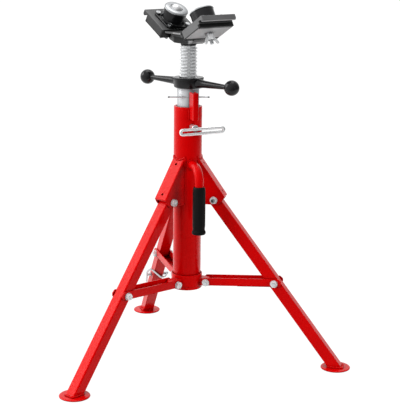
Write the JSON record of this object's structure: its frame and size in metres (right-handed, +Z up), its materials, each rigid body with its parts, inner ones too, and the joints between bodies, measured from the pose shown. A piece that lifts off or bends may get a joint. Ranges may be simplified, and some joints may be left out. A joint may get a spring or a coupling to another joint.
{
  "type": "pipe jack stand",
  "caption": "Folding tripod stand with a pinned telescoping tube, a screw jack turned by a bar nut, and a V head with ball transfer units for holding pipe.",
  "frame": {"origin": "floor level on the column axis", "axes": "+Z up along the column; rear leg along +Y; lock pin, guard and carry handle on the -Y side"},
  "size_m": [0.639, 0.562, 0.7744],
  "materials": {
    "red_paint": "gloss enamel",
    "zinc_steel": "bright zinc plate",
    "black_iron": "satin black paint",
    "dark_steel": "blackened",
    "grip_rubber": "soft satin",
    "bearing_chrome": "polished"
  },
  "bodies": {
    "column": {"outer_tube": "red_paint", "stop_ring": "red_paint", "pin_guard": "red_paint", "carry_handle": "red_paint", "handle_grip": "grip_rubber", "bracket_rear": "red_paint", "bracket_left": "red_paint", "bracket_right": "red_paint", "pivot_bolt_rear": "zinc_steel", "pivot_bolt_left": "zinc_steel", "pivot_bolt_right": "zinc_steel"},
    "collar": {"collar": "red_paint", "lug_bolt_rear": "zinc_steel", "lug_bolt_left": "zinc_steel", "lug_bolt_right": "zinc_steel"},
    "inner_tube": {"inner_tube": "zinc_steel", "screw_key": "dark_steel", "key_rod": "zinc_steel", "thrust_washer": "zinc_steel"},
    "lock_pin": {"lock_pin": "zinc_steel"},
    "handle_nut": {"handle_nut": "black_iron"},
    "jack_screw": {"jack_screw": "zinc_steel"},
    "head": {"head_yoke": "black_iron", "wing_left": "black_iron", "wing_right": "black_iron", "cup_left": "black_iron", "cup_right": "black_iron", "cap_left": "zinc_steel", "cap_right": "zinc_steel", "unit_screws_left": "zinc_steel", "unit_screws_right": "zinc_steel", "unit_stud_left": "zinc_steel", "unit_stud_right": "zinc_steel"},
    "ball_left": {"ball_left": "bearing_chrome"},
    "ball_right": {"ball_right": "bearing_chrome"},
    "wing_nut_left": {"wing_nut_left": "zinc_steel"},
    "wing_nut_right": {"wing_nut_right": "zinc_steel"},
    "leg_lock_pin": {"leg_lock_pin": "zinc_steel"},
    "leg_rear": {"leg_rear": "red_paint", "foot_rear": "red_paint"},
    "brace_rear": {"brace_rear": "red_paint", "brace_bolt_rear": "zinc_steel"},
    "leg_left": {"leg_left": "red_paint", "foot_left": "red_paint"},
    "brace_left": {"brace_left": "red_paint", "brace_bolt_left": "zinc_steel"},
    "leg_right": {"leg_right": "red_paint", "foot_right": "red_paint"},
    "brace_right": {"brace_right": "red_paint", "brace_bolt_right": "zinc_steel"}
  },
  "joints": [
    {"name": "collar_slide", "type": "slide", "parent": "column", "child": "collar", "axis": [0, 0, 1], "range_m": [0, 0.10949]},
    {"name": "leg_rear_hinge", "type": "hinge", "parent": "column", "child": "leg_rear", "pos_m": [0, 0.061, 0.361], "axis": [-1, 0, 0], "range_deg": [0, 32]},
    {"name": "brace_rear_hinge", "type": "hinge", "parent": "collar", "child": "brace_rear", "pos_m": [0, 0.0456, 0.176], "axis": [-1, 0, 0], "range_deg": [0, 79.41]},
    {"name": "leg_left_hinge", "type": "hinge", "parent": "column", "child": "leg_left", "pos_m": [-0.05283, -0.0305, 0.361], "axis": [0.5, -0.866, 0], "range_deg": [0, 32]},
    {"name": "brace_left_hinge", "type": "hinge", "parent": "collar", "child": "brace_left", "pos_m": [-0.03949, -0.0228, 0.176], "axis": [0.5, -0.866, 0], "range_deg": [0, 79.41]},
    {"name": "leg_right_hinge", "type": "hinge", "parent": "column", "child": "leg_right", "pos_m": [0.05283, -0.0305, 0.361], "axis": [0.5, 0.866, 0], "range_deg": [0, 32]},
    {"name": "brace_right_hinge", "type": "hinge", "parent": "collar", "child": "brace_right", "pos_m": [0.03949, -0.0228, 0.176], "axis": [0.5, 0.866, 0], "range_deg": [0, 79.41]},
    {"name": "inner_tube_slide", "type": "slide", "parent": "column", "child": "inner_tube", "axis": [0, 0, 1], "range_m": [0, 0.3]},
    {"name": "lock_pin_slide", "type": "slide", "parent": "column", "child": "lock_pin", "axis": [0, -1, 0], "range_m": [0, 0.09]},
    {"name": "handle_nut_turn", "type": "hinge", "parent": "inner_tube", "child": "handle_nut", "pos_m": [0, 0, 0.61], "axis": [0, 0, 1], "range_deg": [-565.7, 2571.4]},
    {"name": "screw_slide", "type": "slide", "parent": "inner_tube", "child": "jack_screw", "axis": [0, 0, 1], "range_m": [-0.05, 0.011]},
    {"name": "head_swivel", "type": "hinge", "parent": "jack_screw", "child": "head", "pos_m": [0, 0, 0.6883], "axis": [0, 0, 1], "continuous": true},
    {"name": "ball_left_roll", "type": "hinge", "parent": "head", "child": "ball_left", "pos_m": [-0.01593, 0.04285, 0.75579], "axis": [0.9373, 0.3486, 0], "continuous": true},
    {"name": "wing_nut_left_turn", "type": "hinge", "parent": "head", "child": "wing_nut_left", "pos_m": [-0.02535, 0.06815, 0.70902], "axis": [0.1743, -0.4686, 0.866], "range_deg": [-180, 180]},
    {"name": "ball_right_roll", "type": "hinge", "parent": "head", "child": "ball_right", "pos_m": [0.01593, -0.04285, 0.75579], "axis": [0.9373, 0.3486, 0], "continuous": true},
    {"name": "wing_nut_right_turn", "type": "hinge", "parent": "head", "child": "wing_nut_right", "pos_m": [0.02535, -0.06815, 0.70902], "axis": [-0.1743, 0.4686, 0.866], "range_deg": [-180, 180]},
    {"name": "leg_lock_pin_turn", "type": "hinge", "parent": "leg_rear", "child": "leg_lock_pin", "pos_m": [0, 0.24481, 0.11886], "axis": [1, 0, 0], "range_deg": [0, 30]}
  ],
  "couplings": [
    {"joint": "leg_rear_hinge", "follows": "collar_slide", "rad_per_m": 5.1008},
    {"joint": "brace_rear_hinge", "follows": "collar_slide", "rad_per_m": 12.658},
    {"joint": "leg_left_hinge", "follows": "collar_slide", "rad_per_m": 5.1008},
    {"joint": "brace_left_hinge", "follows": "collar_slide", "rad_per_m": 12.658},
    {"joint": "leg_right_hinge", "follows": "collar_slide", "rad_per_m": 5.1008},
    {"joint": "brace_right_hinge", "follows": "collar_slide", "rad_per_m": 12.658},
    {"joint": "screw_slide", "follows": "handle_nut_turn", "m_per_rad": -0.0011141}
  ]
}
